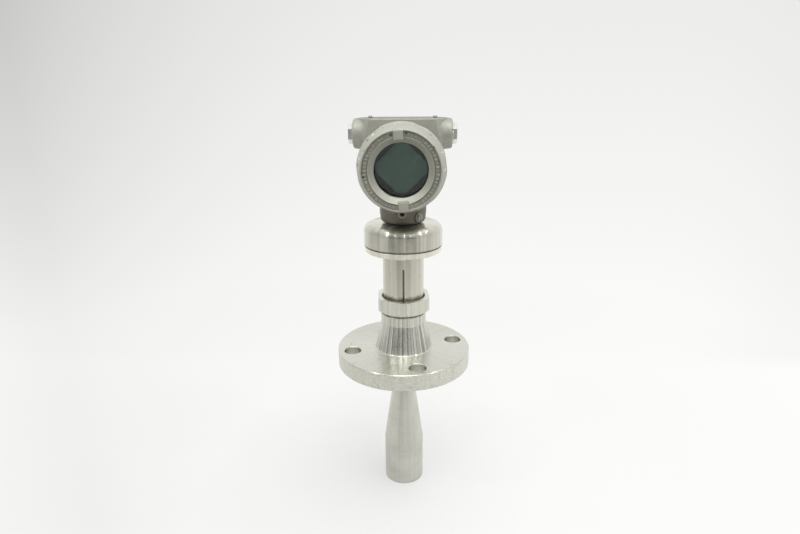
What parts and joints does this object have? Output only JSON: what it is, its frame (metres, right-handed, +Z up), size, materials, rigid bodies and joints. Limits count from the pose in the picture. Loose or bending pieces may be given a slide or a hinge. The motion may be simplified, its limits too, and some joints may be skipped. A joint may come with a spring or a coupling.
{
  "type": "radar level transmitter",
  "caption": "Non-contacting radar level transmitter: flanged hub with cone antenna below, slotted sleeve, drum module and windowed two-chamber head above.",
  "frame": {"origin": "centre of the flange's raised sealing face", "axes": "+Z up along the antenna and hub axis towards the head; -Y is the way the display window faces; the cable ports open along -X and +X"},
  "size_m": [0.1524, 0.1524, 0.4369],
  "materials": {
    "satin_steel": "satin machined stainless steel with fine turning marks",
    "turned_steel": "turned stainless steel, brighter than the flange",
    "plug_steel": "bright hexagon plug, lightly worn",
    "screw_steel": "plain machined fastener",
    "tinned_steel": "tinned sheet",
    "cast_housing": "blasted stainless casting, matt and slightly grainy",
    "cast_cover": "blasted stainless casting, with scuffed bright edges",
    "ptfe": "white moulded fluoropolymer",
    "black_rubber": "black elastomer",
    "black_plastic": "black moulded plastic",
    "circuit_board": "green circuit board",
    "display_glass": "grey-green liquid crystal panel, switched off",
    "window_glass": "clear toughened glass"
  },
  "bodies": {
    "process_connection": {"flange": "satin_steel", "cone_antenna": "satin_steel", "tank_seal": "ptfe", "tank_seal_o_ring": "black_rubber", "waveguide_tube": "turned_steel"},
    "clamp_ring": {"clamp_ring": "turned_steel"},
    "lock_nut": {"lock_nut": "satin_steel"},
    "head": {"slotted_sleeve": "turned_steel", "module_base": "satin_steel", "module_cap": "turned_steel", "module_o_ring": "black_rubber", "waveguide_feed": "turned_steel", "microwave_board": "circuit_board", "shield_can": "tinned_steel", "neck_seal": "black_rubber", "transmitter_housing": "cast_housing", "cable_port_plugs": "plug_steel", "top_screws": "screw_steel", "cover_lock_screws": "screw_steel", "ground_screw": "screw_steel", "ground_washer": "screw_steel", "display_housing": "black_plastic", "display_panel": "display_glass", "electronics_board": "circuit_board", "board_spacers": "screw_steel", "feedthrough": "black_plastic", "terminal_block": "black_plastic", "terminal_screws": "screw_steel"},
    "front_seal": {"front_cover_o_ring": "black_rubber"},
    "front_cover": {"front_cover": "cast_cover", "window_glass": "window_glass", "window_gasket": "black_rubber", "retaining_ring": "turned_steel"},
    "rear_seal": {"rear_cover_o_ring": "black_rubber"},
    "rear_cover": {"rear_cover": "cast_cover"}
  },
  "joints": [
    {"name": "head_swivel", "type": "hinge", "parent": "process_connection", "child": "head", "pos_m": [0, 0, 0.0761], "axis": [0, 0, 1], "continuous": true},
    {"name": "nut_lift", "type": "slide", "parent": "process_connection", "child": "clamp_ring", "axis": [0, 0, 1], "range_m": [0, 0.00751]},
    {"name": "nut_turn", "type": "hinge", "parent": "clamp_ring", "child": "lock_nut", "pos_m": [0, 0, 0.0747], "axis": [0, 0, 1], "range_deg": [0, 1800]},
    {"name": "front_cover_travel", "type": "slide", "parent": "head", "child": "front_seal", "axis": [0, -1, 0], "range_m": [0, 0.01401]},
    {"name": "front_cover_turn", "type": "hinge", "parent": "front_seal", "child": "front_cover", "pos_m": [0, -0.04, 0.2326], "axis": [0, -1, 0], "range_deg": [0, 2520]},
    {"name": "rear_cover_travel", "type": "slide", "parent": "head", "child": "rear_seal", "axis": [0, 1, 0], "range_m": [0, 0.01401]},
    {"name": "rear_cover_turn", "type": "hinge", "parent": "rear_seal", "child": "rear_cover", "pos_m": [0, 0.04, 0.2326], "axis": [0, 1, 0], "range_deg": [0, 2520]}
  ],
  "couplings": [
    {"joint": "nut_lift", "follows": "nut_turn", "m_per_rad": 0.00023873},
    {"joint": "front_cover_travel", "follows": "front_cover_turn", "m_per_rad": 0.00031831},
    {"joint": "rear_cover_travel", "follows": "rear_cover_turn", "m_per_rad": 0.00031831}
  ]
}
